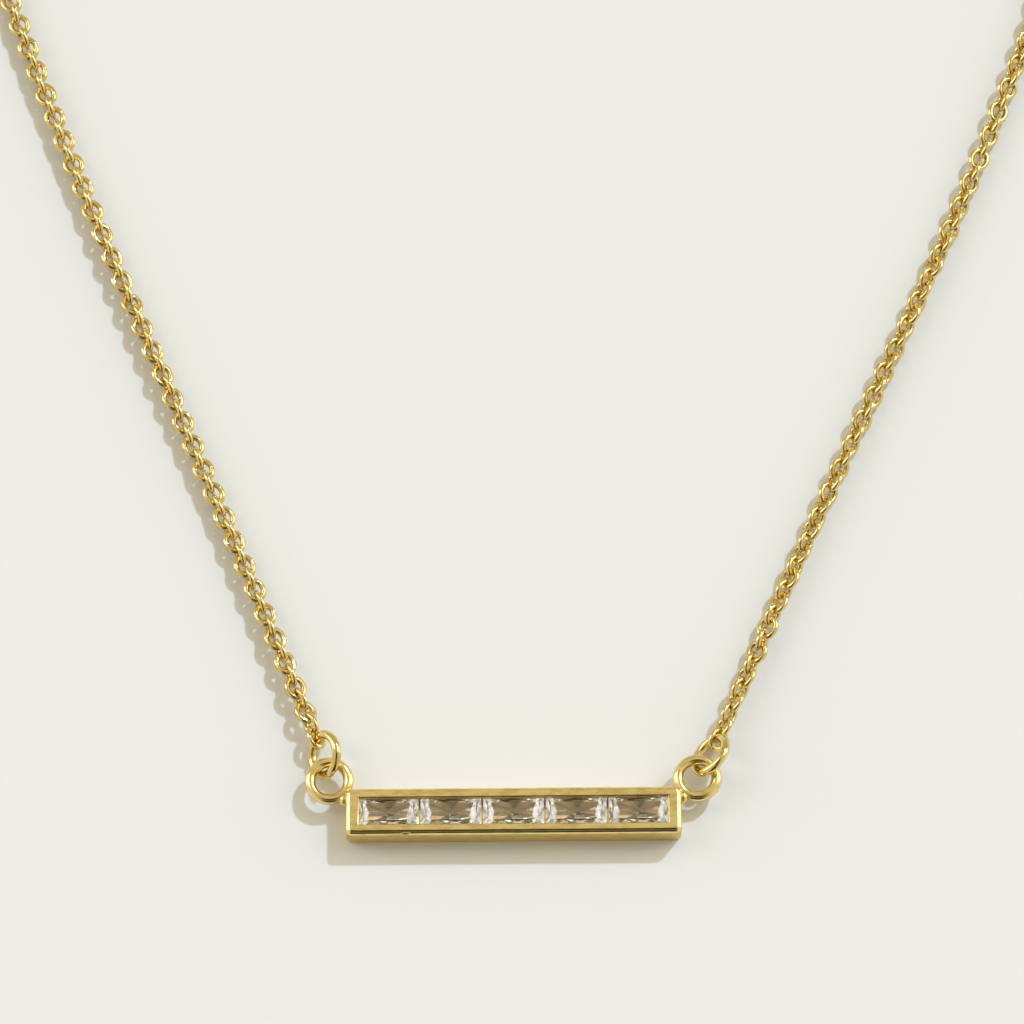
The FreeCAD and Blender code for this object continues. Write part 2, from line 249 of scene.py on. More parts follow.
def build_polish_group():
    """Smears in the roughness, faint waves in the normal and a grain of tarnish, from the piece's own place."""
    tree = bpy.data.node_groups.new("hand polish", "ShaderNodeTree")
    effects = {"Smear": 0.1, "Gloss": 0.1, "Wave": 0.1, "Tarnish": 0.1}
    sizes = {"Smear Size": 900.0, "Wave Size": 500.0, "Grain Size": 2500.0}
    for name, default in (effects | sizes).items():
        socket = tree.interface.new_socket(name, in_out="INPUT", socket_type="NodeSocketFloat")
        socket.default_value = default
    tree.interface.new_socket("Roughness", in_out="OUTPUT", socket_type="NodeSocketFloat")
    tree.interface.new_socket("Normal", in_out="OUTPUT", socket_type="NodeSocketVector")
    tree.interface.new_socket("Tarnish", in_out="OUTPUT", socket_type="NodeSocketFloat")
    given = tree.nodes.new("NodeGroupInput")
    out = tree.nodes.new("NodeGroupOutput")
    place = tree.nodes.new("ShaderNodeTexCoord")

    smears = new_node(tree, "ShaderNodeTexNoise", Detail=4.0, Roughness=0.6)
    spread = new_node(tree, "ShaderNodeMath")
    spread.operation = "MULTIPLY_ADD"
    tree.links.new(place.outputs["Object"], smears.inputs["Vector"])
    tree.links.new(given.outputs["Smear Size"], smears.inputs["Scale"])
    tree.links.new(smears.outputs["Fac"], spread.inputs[0])
    tree.links.new(given.outputs["Smear"], spread.inputs[1])
    tree.links.new(given.outputs["Gloss"], spread.inputs[2])
    tree.links.new(spread.outputs[0], out.inputs["Roughness"])

    waves = new_node(tree, "ShaderNodeTexNoise", Detail=2.0, Roughness=0.45)
    bump = new_node(tree, "ShaderNodeBump", Distance=WAVE_DEPTH)
    tree.links.new(place.outputs["Object"], waves.inputs["Vector"])
    tree.links.new(given.outputs["Wave Size"], waves.inputs["Scale"])
    tree.links.new(waves.outputs["Fac"], bump.inputs["Height"])
    tree.links.new(given.outputs["Wave"], bump.inputs["Strength"])
    tree.links.new(bump.outputs["Normal"], out.inputs["Normal"])

    along = new_node(tree, "ShaderNodeMapping", Scale=GRAIN_STRETCH)
    grain = new_node(tree, "ShaderNodeTexNoise", Detail=3.0, Roughness=0.6)
    tree.links.new(place.outputs["Object"], along.inputs["Vector"])
    tree.links.new(along.outputs["Vector"], grain.inputs["Vector"])
    tree.links.new(given.outputs["Grain Size"], grain.inputs["Scale"])
    grains = soft_step(tree, grain.outputs["Fac"], *GRAIN_EDGE)
    dull = maths(tree, "MULTIPLY", grains, given.outputs["Tarnish"])
    tree.links.new(dull, out.inputs["Tarnish"])
    return tree


polish_group = build_polish_group()
print("polish group:", len(polish_group.nodes), "nodes")

# %% [markdown]
# ## Two golds from one polish
#
# The bar's front and back meet the buffing wheel flat, but its walls only see the wheel's edge, so they stay duller.
# Their colour is also painted darker and a little browner, as painted shade. The direction that a face points in tells
# the two apart: the share of up or down in its normal blends a wall's colour and roughness into the front's. Wire is
# drawn bright all round, so it has one colour and finer waves. Two separate materials for front and walls would leave
# a hard line on the rounded edges.

# %% The gold materials
GOLD_COLOUR = (0.96, 0.78, 0.345, 1.0)
TARNISH_COLOUR = (0.55, 0.4, 0.13, 1.0)
# The walls' colour is darker and browner than the front's: this is painted shade.
WALL_PAINTED_SHADE_COLOUR = (0.74, 0.57, 0.225, 1.0)
WIRE_COLOUR = (0.82, 0.655, 0.285, 1.0)
WALL_ROUGHNESS = 0.35
WHEEL_AND_SHADE_REACH = (0.05, 0.6)


def build_gold(name, side_roughness, side_shaded_colour, top_colour, **polish):
    """Polished gold plate, with its own strength of smears and waves. Walls get less of the wheel and a painted shade.
    """
    material = bpy.data.materials.new(name)
    material.use_nodes = True
    tree = material.node_tree
    shader = tree.nodes["Principled BSDF"]
    shader.inputs["Metallic"].default_value = 1.0
    group = tree.nodes.new("ShaderNodeGroup")
    group.node_tree = polish_group
    for socket, value in polish.items():
        group.inputs[socket.replace("_", " ")].default_value = value
    normal = tree.nodes.new("ShaderNodeTexCoord")
    split = tree.nodes.new("ShaderNodeSeparateXYZ")
    tree.links.new(normal.outputs["Normal"], split.inputs["Vector"])
    polished_and_unshaded = soft_step(tree, maths(tree, "ABSOLUTE", split.outputs["Z"]), *WHEEL_AND_SHADE_REACH)
    # Blend in the walls' darker colour, which is painted shade, by the same mask as their roughness.
    clean = mix_colours(tree, polished_and_unshaded, side_shaded_colour, top_colour)
    tarnished = mix_colours(tree, group.outputs["Tarnish"], clean, TARNISH_COLOUR)
    tree.links.new(tarnished, shader.inputs["Base Color"])
    unpolished = maths(tree, "SUBTRACT", 1.0, polished_and_unshaded)
    rough = maths(tree, "MULTIPLY_ADD", unpolished, side_roughness, group.outputs["Roughness"])
    tree.links.new(rough, shader.inputs["Roughness"])
    tree.links.new(group.outputs["Normal"], shader.inputs["Normal"])
    return material


bar_polish = {"Gloss": 0.1, "Smear": 0.12, "Wave": 0.6, "Tarnish": 0.45}
bar_polish |= {"Smear_Size": 700.0, "Wave_Size": 450.0, "Grain_Size": 2600.0}
wire_polish = {"Gloss": 0.04, "Smear": 0.1, "Wave": 0.5, "Tarnish": 0.35}
wire_polish |= {"Smear_Size": 1500.0, "Wave_Size": 1500.0, "Grain_Size": 1600.0}
gold_bar = build_gold("gold bar", WALL_ROUGHNESS, WALL_PAINTED_SHADE_COLOUR, GOLD_COLOUR, **bar_polish)
gold_wire = build_gold("gold wire", 0.0, WIRE_COLOUR, WIRE_COLOUR, **wire_polish)
print("materials:", gold_bar.name, "and", gold_wire.name)

# %% [markdown]
# ## The chain
#
# The chain is a round-link cable chain: every link is a soldered ring of wire, turned a quarter about the chain from
# the one before. The links could be arrayed with a curve modifier, but that bends each link. Here one link is modelled
# and copied along the route, each copy with its own mesh.
#
# The route is the smooth line through the points where the chain was laid down, the same ones as the solid tube's. One
# more link before its first point hooks the jump ring, and is turned so that the ring's wire passes through it.

# %% Lay out the chain's route
ROUTE_MM = {
    "left": (
        (-13.47, 5.95, 1.0),
        (-17.4, 15.9, 0.785),
        (-22.9, 29.05, 0.785),
        (-30.3, 46.8, 0.785),
        (-37.5, 66.5, 0.785),
        (-43.4, 92.0, 0.785),
        (-45.9, 120.0, 0.785),
        (-43.6, 147.0, 0.785),
        (-34.5, 170.0, 0.785),
        (-19.5, 184.5, 0.785),
        (-4.35, 188.5, 0.785),
    ),
    "right": (
        (14.0, 5.6, 1.0),
        (18.5, 15.8, 0.785),
        (24.42, 28.6, 0.785),
        (31.95, 44.65, 0.785),
        (38.85, 62.5, 0.785),
        (45.2, 86.5, 0.785),
        (47.9, 114.0, 0.785),
        (46.0, 141.5, 0.785),
        (37.8, 165.5, 0.785),
        (22.9, 182.2, 0.785),
        (4.4, 188.5, 0.785),
    ),
}


print("control points:", {side: len(places) for side, places in ROUTE_MM.items()})


def route_points(side):
    """Points close together along the chain's smooth line."""
    curve = bpy.data.curves.new(f"route_{side}", "CURVE")
    curve.dimensions = "3D"
    spline = curve.splines.new("NURBS")
    spline.points.add(len(ROUTE_MM[side]) - 1)
    for point, place in zip(spline.points, ROUTE_MM[side]):
        point.co = (*(Vector(place) * MM), 1.0)
    spline.order_u = 3
    spline.use_endpoint_u = True
    spline.resolution_u = 24
    holder = bpy.data.objects.new(curve.name, curve)
    bpy.context.collection.objects.link(holder)
    mesh = bpy.data.meshes.new_from_object(holder)
    points = [vertex.co.copy() for vertex in mesh.vertices]
    bpy.data.objects.remove(holder)
    bpy.data.meshes.remove(mesh)
    return points


def walk(points, count):
    """Places and directions of evenly spaced stations along a line of points, with half a step at each end."""
    lengths = [0.0]
    for start, end in zip(points, points[1:]):
        lengths.append(lengths[-1] + (end - start).length)
    step = lengths[-1] / count
    stations = []
    leg = 0
    for index in range(count):
        distance = (index + 0.5) * step
        while lengths[leg + 1] < distance:
            leg += 1
        start, end = points[leg], points[leg + 1]
        share = (distance - lengths[leg]) / (end - start).length
        stations.append((start.lerp(end, share), (end - start).normalized()))
    return stations, step


# %% [markdown]
# ## One link
#
# A link is a ring of wire, soldered shut and drawn a little long. A torus would need no modelling, but the way it is
# made tells more: the wire's round section is drawn and spun once round, and then the ring is stretched. The stretch
# leaves just enough room inside for the two neighbours' wire. A section of six sides is enough for wire this thin,
# because there are hundreds of links.

# %% Model one link
LINK_WIDTH = 1.55 * MM
LINK_STRETCH = 1.21
LINK_WIRE = 0.395 * MM
LINK_SIDES = 16
WIRE_SIDES = 6


def spin_ring(mid_radius, wire_radius, wire_sides, ring_sides):
    """A closed ring of round wire, flat about the origin: the wire's section is drawn and spun once round."""
    bpy.ops.object.select_all(action="DESELECT")
    bpy.ops.mesh.primitive_circle_add(
        vertices=wire_sides, radius=wire_radius, location=(mid_radius, 0, 0), rotation=(math.pi / 2, 0, 0)
    )
    ring = bpy.context.object
    place_in_mesh(ring, Matrix.Identity(4))
    edit(ring, "VERT")
    bpy.ops.mesh.select_all(action="SELECT")
    bpy.ops.mesh.spin(steps=ring_sides, angle=2 * math.pi, center=(0, 0, 0), axis=(0, 0, 1))
    close_mesh(ring)
    only(ring)
    bpy.ops.object.shade_smooth()
    return ring


link = spin_ring((LINK_WIDTH - LINK_WIRE) / 2, LINK_WIRE / 2, WIRE_SIDES, LINK_SIDES)
place_in_mesh(link, Matrix.Scale(LINK_STRETCH, 4, (1, 0, 0)))
print("one link:", len(link.data.polygons), "faces")

# %% [markdown]
# ## Threading the chain
#
# Laid on a table, a chain never lies quite regular: each link has a little play in the next. So the turn of the links
# about the chain drifts slowly along it, and each link nods by a few degrees, by a seeded dice. The two halves lie
# differently on the real necklace. On the left every second link lies flat and shows its hole, and on the right both
# kinds lean, which looks like rope.

# %% Thread the links along both halves
LINK_PITCH = {"left": 0.935 * MM, "right": 0.955 * MM}
LINK_ROLL = {"left": math.radians(5), "right": math.radians(42)}
HOOK_ROLL = {"left": math.radians(41), "right": math.radians(39)}
HOOK_REACH = 4
HOOK_SLACK = 1.05
ROLL_DRIFT = {"left": math.radians(10), "right": math.radians(24)}
DRIFT_MEMORY = 0.85
LINK_NOD = math.radians(5)


def thread_chain(side):
    """Copies of the link along one half of the chain, joined into one piece."""
    dice = random.Random(f"chain {side}")
    points = route_points(side)
    length = sum((end - start).length for start, end in zip(points, points[1:]))
    stations, step = walk(points, round(length / LINK_PITCH[side]))
    first_place, first_ahead = stations[0]
    stations.insert(0, (first_place - first_ahead * step * HOOK_SLACK, first_ahead))
    drift = 0.0
    copies = []
    for index, (place, ahead) in enumerate(stations):
        drift = DRIFT_MEMORY * drift + dice.uniform(-0.5, 0.5) * ROLL_DRIFT[side]
        twist = (HOOK_ROLL[side] - LINK_ROLL[side]) * math.exp(-index / HOOK_REACH)
        roll = LINK_ROLL[side] + twist + drift + (index % 2) * math.pi / 2
        beside = Z_UP.cross(ahead).normalized()
        upright = ahead.cross(beside)
        axes = Matrix((ahead, beside, upright)).transposed().to_4x4()
        nod = Matrix.Rotation(dice.uniform(-1, 1) * LINK_NOD, 4, "Y")
        copy = link.copy()
        copy.data = link.data.copy()
        bpy.context.collection.objects.link(copy)
        copy.data.transform(Matrix.Translation(place) @ axes @ Matrix.Rotation(roll, 4, "X") @ nod)
        copies.append(copy)
    only(*copies)
    bpy.ops.object.join()
    print(f"{side} half: {len(stations)} links {step / MM:.3f} mm apart over {length / MM:.1f} mm")
    return bpy.context.object


for side in ("left", "right"):
    half = thread_chain(side)
    finish_piece(half, f"chain_{side}_links", gold_wire, "gold", f"chain_{side}")
bpy.data.objects.remove(link)

# %% [markdown]
# ## Jump rings, clasp and closing ring
#
# These are bent from heavier wire, so they get more sides than a link. The leaning ones are spun flat, and then turned
# into place the way that they lean on the real necklace.

# %% Rings of heavier wire
RING_WIRE_SIDES = 16
RING_SIDES = 64


def lean(heading, tilt):
    """Turn a flat ring about its heading, in degrees from +X, so that the side on the right of it is up."""
    return Matrix.Rotation(math.radians(heading), 4, "Z") @ Matrix.Rotation(math.radians(-tilt), 4, "X")


CORNER_RING_MID = 1.28 * MM
CORNER_RING_WIRE = 0.355 * MM
CORNER_RING_PLACE = Vector((12.35, 2.35, 1.3)) * MM
JUMP_RING_MID = 1.36 * MM
JUMP_RING_WIRE = 0.31 * MM
JUMP_RING_TILT = 52.0
JUMP_RING_PULL = {"left": 1.83 * MM, "right": 1.8 * MM}
JUMP_RING_HEADING = {"left": 100.8, "right": 60.2}
FLOAT_GAP = 0.01 * MM

for side, sign in (("left", -1), ("right", 1)):
    ring = spin_ring(JUMP_RING_MID, JUMP_RING_WIRE, RING_WIRE_SIDES, RING_SIDES)
    heading = math.radians(JUMP_RING_HEADING[side])
    place = Vector((sign * CORNER_RING_PLACE.x, CORNER_RING_PLACE.y, 0))
    place += Vector((math.cos(heading), math.sin(heading), 0)) * JUMP_RING_PULL[side]
    place.z = JUMP_RING_MID * math.sin(math.radians(JUMP_RING_TILT)) + JUMP_RING_WIRE + FLOAT_GAP
    place_in_mesh(ring, Matrix.Translation(place) @ lean(JUMP_RING_HEADING[side], JUMP_RING_TILT))
    finish_piece(ring, f"jump_ring_{side}_wire", gold_wire, "gold", f"jump_ring_{side}")

# %% [markdown]
# ## The clasp
#
# The clasp isn't in the picture. A fine chain like this one usually closes with a spring ring, a round clasp with a
# small eye that the chain is fixed to, and it hooks into a plain ring on the other half. Its spring and trigger are
# unseen and left out, so the clasp is one plain ring united with its eye by a boolean, as if soldered.

# %% The clasp and the ring it closes on
LOOP_TOP = 188.5 * MM
CLASP_MID = 2.3 * MM
CLASP_WIRE = 0.45 * MM
CLASP_TILT = math.radians(14.0)
CLASP_X = -0.1 * MM
EYE_MID = 0.8 * MM
EYE_WIRE = 0.22 * MM
CLOSING_MID = 1.45 * MM
CLOSING_WIRE = 0.3 * MM
CLOSING_TILT = 65.0
CLOSING_X = 2.4 * MM

clasp = spin_ring(CLASP_MID, CLASP_WIRE, RING_WIRE_SIDES, RING_SIDES)
eye = spin_ring(EYE_MID, EYE_WIRE, RING_WIRE_SIDES, RING_SIDES // 2)
place_in_mesh(eye, Matrix.Translation((-CLASP_MID - EYE_MID, 0, 0)))
apply_modifier(clasp, "BOOLEAN", operation="UNION", object=eye, solver="EXACT")
bpy.data.objects.remove(eye)
clasp_height = (CLASP_MID + EYE_MID) * math.sin(CLASP_TILT) + CLASP_WIRE + FLOAT_GAP
clasp_place = Vector((CLASP_X, LOOP_TOP, clasp_height))
place_in_mesh(clasp, Matrix.Translation(clasp_place) @ Matrix.Rotation(-CLASP_TILT, 4, "Y"))
finish_piece(clasp, "clasp_ring", gold_wire, "gold", "clasp")

closing = spin_ring(CLOSING_MID, CLOSING_WIRE, RING_WIRE_SIDES, RING_SIDES)
closing_height = CLOSING_MID * math.sin(math.radians(CLOSING_TILT)) + CLOSING_WIRE + FLOAT_GAP
place_in_mesh(closing, Matrix.Translation((CLOSING_X, LOOP_TOP, closing_height)) @ lean(0, CLOSING_TILT))
finish_piece(closing, "closing_ring_wire", gold_wire, "gold", "closing_ring")

# %% [markdown]
# ## The bar
#
# The bar is cast in one piece: a block with soft edges and a long window in its front. Below the window is a wider
# channel, where the rails overhang the stones. A caster's model starts as a block too, so this one is cut the same way:
# bevel the outside, cut the window, then widen and deepen it to the channel.

# %% Block out the bar
BAR = Vector((22.5, 3.24, 2.2)) * MM
CORNER_ROUND = 0.42 * MM
FRONT_ROUND = 0.35 * MM
BACK_ROUND = 0.12 * MM
WINDOW = Vector((20.7, 1.8)) * MM
CHANNEL = Vector((20.96, 2.06)) * MM
CHANNEL_TOP = 1.8 * MM
CHANNEL_FLOOR = 0.55 * MM
TINY = 0.002 * MM

bpy.ops.object.select_all(action="DESELECT")
bpy.ops.mesh.primitive_cube_add(size=1, location=(0, 0, BAR.z / 2), scale=BAR)
bar = bpy.context.object
place_in_mesh(bar, Matrix.Identity(4))
edit(bar, "EDGE")
pick(bar, "EDGE", lambda edge: abs(edge.verts[0].co.z - edge.verts[1].co.z) > BAR.z / 2)
bpy.ops.mesh.bevel(offset=CORNER_ROUND, segments=6, profile=0.5, affect="EDGES")
pick(bar, "EDGE", lambda edge: min(vertex.co.z for vertex in edge.verts) > BAR.z - TINY)
bpy.ops.mesh.bevel(offset=FRONT_ROUND, segments=6, profile=0.5, affect="EDGES")
pick(bar, "EDGE", lambda edge: max(vertex.co.z for vertex in edge.verts) < TINY)
bpy.ops.mesh.bevel(offset=BACK_ROUND, segments=3, profile=0.5, affect="EDGES")
print("bar", [round(side / MM, 2) for side in BAR], "mm, rounded:", len(bmesh.from_edit_mesh(bar.data).faces), "faces")

# %% [markdown]
# ## The window and the channel
#
# The stones sit in one long channel, side by side, and two rails hold them from above. A boolean with a box could cut
# both, but cutting by hand keeps the faces clean: four bisects outline the window on the front, its face is pushed down
# to the rails' underside, pushed out sideways to the channel's width, and then down to the floor.


# %% Cut the window and the channel
LEVEL = 0.99


def is_level(face, height):
    """Whether a face lies flat at a height and faces up."""
    return face.normal.z > LEVEL and abs(face.calc_center_median().z - height) < TINY


for cut, across in ((WINDOW.x / 2, Vector((1, 0, 0))), (WINDOW.y / 2, Vector((0, 1, 0)))):
    for sign in (-1, 1):
        pick(bar, "FACE", lambda face: is_level(face, BAR.z))
        bpy.ops.mesh.bisect(plane_co=across * cut * sign, plane_no=across)
pick(bar, "FACE", lambda face: is_level(face, BAR.z) and face.calc_center_median().xy.length < TINY)
bpy.ops.mesh.extrude_region_move(TRANSFORM_OT_translate={"value": (0, 0, CHANNEL_TOP - BAR.z)})
bpy.ops.mesh.extrude_region_move(TRANSFORM_OT_translate={"value": (0, 0, 0)})
widen = (CHANNEL.x / WINDOW.x, CHANNEL.y / WINDOW.y, 1)
bpy.ops.transform.resize(value=widen, center_override=(0, 0, CHANNEL_TOP))
bpy.ops.mesh.extrude_region_move(TRANSFORM_OT_translate={"value": (0, 0, CHANNEL_FLOOR - CHANNEL_TOP)})
print("faces of the bar after the channel is cut:", len(bmesh.from_edit_mesh(bar.data).faces))

# %% [markdown]
# ## The burnished rim
#
# Once the stones are in, the setter burnishes the metal down on them, which rounds the window's rim. The rounding
# catches a thin line of light all round the stones. A bevel of the rim's edges makes it.

# %% Burnish the window's rim
RIM_ROUND = 0.11 * MM


def on_rim(edge):
    """Whether an edge is on the window's upper rim."""
    level = all(abs(vertex.co.z - BAR.z) < TINY for vertex in edge.verts)
    inside = all(abs(v.co.x) < WINDOW.x / 2 + TINY and abs(v.co.y) < WINDOW.y / 2 + TINY for v in edge.verts)
    return level and inside


print("rim edges:", pick(bar, "EDGE", on_rim))
bpy.ops.mesh.bevel(offset=RIM_ROUND, segments=4, profile=0.5, affect="EDGES")
close_mesh(bar)

# %% [markdown]
# ## The corner rings
#
# A closed ring is soldered to each upper corner of the bar, and the solder leaves a small bead under the ring. Solder
# runs the pieces into one, so ring and bead are united with the bar by booleans rather than left inside it.

# %% Solder the corner rings on
SOLDER = Vector((0.36, 0.42, 0.36)) * MM
SOLDER_Y = 1.05 * MM

for sign in (-1, 1):
    ring = spin_ring(CORNER_RING_MID, CORNER_RING_WIRE, RING_WIRE_SIDES, RING_SIDES)
    ring_place = Vector((sign * CORNER_RING_PLACE.x, CORNER_RING_PLACE.y, CORNER_RING_PLACE.z))
    place_in_mesh(ring, Matrix.Translation(ring_place))
    apply_modifier(bar, "BOOLEAN", operation="UNION", object=ring, solver="EXACT")
    bpy.data.objects.remove(ring)
    bpy.ops.object.select_all(action="DESELECT")
    bead_place = Vector((sign * (BAR.x / 2 + SOLDER.x / 3), SOLDER_Y, CORNER_RING_PLACE.z))
    bpy.ops.mesh.primitive_uv_sphere_add(segments=32, ring_count=16, radius=1, location=bead_place, scale=SOLDER)
    bead = bpy.context.object
    place_in_mesh(bead, Matrix.Identity(4))
    apply_modifier(bar, "BOOLEAN", operation="UNION", object=bead, solver="EXACT")
    bpy.data.objects.remove(bead)
    print("ring and bead soldered on:", len(bar.data.polygons), "faces")

# %% [markdown]
# ## Two casting marks
#
# The lower front edge has a shallow dent near its left end and a smaller nick beside the corner. Bumps in a material
# would vanish at the edge's outline, so a flattened ball is pressed in at each place and taken away again.

# %% Press the two casting marks into the lower edge
MARKS = (
    ("dent", Vector((-7.22, -1.6, 2.1)) * MM, Vector((0.42, 0.15, 0.13)) * MM),
    ("nick", Vector((-10.2, -1.66, 1.55)) * MM, Vector((0.2, 0.08, 0.12)) * MM),
)

CREASE = math.radians(35)

for name, place, size in MARKS:
    bpy.ops.object.select_all(action="DESELECT")
    bpy.ops.mesh.primitive_uv_sphere_add(segments=24, ring_count=12, radius=1, location=place, scale=size)
    tool = bpy.context.object
    place_in_mesh(tool, Matrix.Identity(4))
    apply_modifier(bar, "BOOLEAN", operation="DIFFERENCE", object=tool, solver="EXACT")
    bpy.data.objects.remove(tool)
    print(name, "pressed in:", len(bar.data.polygons), "faces")
close_mesh(bar)
only(bar)
bpy.ops.object.shade_smooth_by_angle(angle=CREASE)
apply_modifier(bar, "WEIGHTED_NORMAL", keep_sharp=True)
finish_piece(bar, "bar_casting", gold_bar, "gold", "bar_setting")

# %% [markdown]
# ## The stones
#
# Each stone is a baguette: a flat table and four sloping sides above the girdle, and below it a half-moon under each
# side and a ring of facets down to a short keel. Typed-in corner points would have to be worked out by hand. A cutter
# thinks in facets instead, so each facet is given as a plane, by a point on it and the direction that it faces.

# %% The stone's sizes and facets
STONE_PITCH = 4.2 * MM
STONE_COUNT = 5
STONE = Vector((4.08, 2.0)) * MM
GIRDLE_HEIGHT = 1.62 * MM
GIRDLE_DEPTH = 0.08 * MM
CROWN_DEPTH = 0.35 * MM
CROWN_RUN = Vector((0.36, 0.42)) * MM
PAVILION_DEPTH = 0.95 * MM
PAVILION_FACETS = 12
KEEL = 0.02 * MM
END_MOON_SLOPE = math.radians(37)
SIDE_MOON_SLOPE = math.radians(62)


def crown_planes():
    """The table, the keel and four sloping sides, as a point and an outward normal each."""
    half = STONE / 2
    planes = [(Vector((0, 0, GIRDLE_DEPTH + CROWN_DEPTH)), Z_UP), (Vector((0, 0, KEEL - PAVILION_DEPTH)), -Z_UP)]
    for sign in (-1, 1):
        planes.append((Vector((sign * half.x, 0, GIRDLE_DEPTH)), Vector((sign * CROWN_DEPTH, 0, CROWN_RUN.x))))
        planes.append((Vector((0, sign * half.y, GIRDLE_DEPTH)), Vector((0, sign * CROWN_DEPTH, CROWN_RUN.y))))
    return planes


def pavilion_planes():
    """A half-moon under each side of the girdle, and a ring of facets round an oval cone down to the culet."""
    half = STONE / 2
    planes = []
    for sign in (-1, 1):
        end = Vector((sign * math.sin(END_MOON_SLOPE), 0, -math.cos(END_MOON_SLOPE)))
        long_side = Vector((0, sign * math.sin(SIDE_MOON_SLOPE), -math.cos(SIDE_MOON_SLOPE)))
        planes.append((Vector((sign * half.x, 0, 0)), end))
        planes.append((Vector((0, sign * half.y, 0)), long_side))
    for index in range(PAVILION_FACETS):
        angle = 2 * math.pi * (index + 0.5) / PAVILION_FACETS
        along = PAVILION_DEPTH / (half.x * math.sqrt(2)) * math.cos(angle)
        across = PAVILION_DEPTH / (half.y * math.sqrt(2)) * math.sin(angle)
        planes.append((Vector((0, 0, -PAVILION_DEPTH)), Vector((along, across, -1))))
    return planes


# %% [markdown]
# ## Grinding one stone
#
# A cutter grinds a rough block flat, one facet after another. The bisect operator does just that: it clears what is
# outside a plane and fills the cut with a new flat face.


# %% Cut one stone
def cut_stone():
    """One stone about its own middle, its height counted from the lower edge of the girdle."""
    bpy.ops.object.select_all(action="DESELECT")
    bpy.ops.mesh.primitive_cube_add(size=1, scale=(STONE.x, STONE.y, 3 * PAVILION_DEPTH))
    stone = bpy.context.object
    place_in_mesh(stone, Matrix.Identity(4))
    for point, normal in crown_planes() + pavilion_planes():
        edit(stone)
        bpy.ops.mesh.select_all(action="SELECT")
        bpy.ops.mesh.bisect(plane_co=point, plane_no=normal.normalized(), use_fill=True, clear_outer=True)
    close_mesh(stone)
    return stone


rough_stone = cut_stone()
print("facets on a stone:", len(rough_stone.data.polygons))


# %% [markdown]
# ## The stones' material
#
# The crystal is clear with a high index. Below the girdle, where the dark channel backs it, its colour is a painted
# shade in soft clouds. The two half-moons at a stone's ends throw the light from both sides back as white flashes. A
# path tracer finds such flashes only in a long render, so these facets are satin and carry a faint painted glow
# instead, a painted highlight in pale and dark cells. Masks tell the parts apart: one by height, and one by the end
# facets' slope. Fine cells break the painted glow up, as the many small flashes do.

# %% Build the crystal
CLEAR = (0.97, 0.98, 1.0, 1.0)
# Painted shade below the girdle, where the dark channel backs the stone, in two close tones.
PAINTED_CHANNEL_SHADE = (0.45, 0.39, 0.47, 1.0)
PAINTED_CHANNEL_SHADE_LIGHT = (0.53, 0.465, 0.545, 1.0)
# Painted glints on the end half-moons: pale cells and dark cells, shown in their colour and as a painted glow.
PAINTED_GLINT_PALE = (0.97, 0.98, 1.0, 1.0)
PAINTED_GLINT_DARK = (0.09, 0.09, 0.11, 1.0)
NO_GLOW = (0.0, 0.0, 0.0, 1.0)
MOON_SATIN = 0.08
PAINTED_GLOW_STRENGTH = 0.19
MOON_TOLERANCE = 0.05
GLINTS = 4500.0
GLINT_EDGE = (0.3, 0.65)
SHADE_CLOUD_SCALE = 350.0
SHADE_CLOUD_EDGE = (0.4, 0.6)
CRYSTAL_IOR = 2.1


def build_crystal():
    """Clear crystal, high index: painted shade below the girdle, satin and a painted glint glow on the end half-moons.
    """
    material = bpy.data.materials.new("crystal")
    material.use_nodes = True
    tree = material.node_tree
    shader = tree.nodes["Principled BSDF"]
    place = tree.nodes.new("ShaderNodeTexCoord")
    height = tree.nodes.new("ShaderNodeSeparateXYZ")
    facing = tree.nodes.new("ShaderNodeSeparateXYZ")
    tree.links.new(place.outputs["Object"], height.inputs["Vector"])
    tree.links.new(place.outputs["Normal"], facing.inputs["Vector"])
    below = maths(tree, "LESS_THAN", height.outputs["Z"], GIRDLE_HEIGHT - TINY)
    endwise = maths(tree, "ABSOLUTE", facing.outputs["X"])
    moon = maths(tree, "MULTIPLY", below, maths(tree, "COMPARE", endwise, math.sin(END_MOON_SLOPE), MOON_TOLERANCE))
    glints = new_node(tree, "ShaderNodeTexVoronoi", Scale=GLINTS)
    shade_clouds = new_node(tree, "ShaderNodeTexNoise", Scale=SHADE_CLOUD_SCALE, Detail=1.0)
    for texture in (glints, shade_clouds):
        tree.links.new(place.outputs["Object"], texture.inputs["Vector"])
    # Painted glints on the half-moons, and painted shade in soft clouds below the girdle.
    pale = mix_colours(tree, soft_step(tree, glints.outputs["Color"], *GLINT_EDGE), PAINTED_GLINT_PALE, PAINTED_GLINT_DARK)
    painted_channel_shade = mix_colours(tree, soft_step(tree, shade_clouds.outputs["Fac"], *SHADE_CLOUD_EDGE), PAINTED_CHANNEL_SHADE, PAINTED_CHANNEL_SHADE_LIGHT)
    body = mix_colours(tree, below, CLEAR, painted_channel_shade)
    tree.links.new(mix_colours(tree, moon, body, pale), shader.inputs["Base Color"])
    tree.links.new(maths(tree, "MULTIPLY", moon, MOON_SATIN), shader.inputs["Roughness"])
    # The half-moons glow with the painted glints, though they are no lamp.
    tree.links.new(mix_colours(tree, moon, NO_GLOW, pale), shader.inputs["Emission Color"])
    shader.inputs["Emission Strength"].default_value = PAINTED_GLOW_STRENGTH
    shader.inputs["Metallic"].default_value = 0.0
    shader.inputs["Transmission Weight"].default_value = 1.0
    shader.inputs["IOR"].default_value = CRYSTAL_IOR
    return material


crystal = build_crystal()
print("crystal:", len(crystal.node_tree.nodes), "nodes")

# %% [markdown]
# ## Setting the stones
#
# The five stones come from one grinding, so one is modelled and four are copied, each with its own mesh. A hair's gap
# stays between neighbours, which shows as a dark line, as in the real channel.

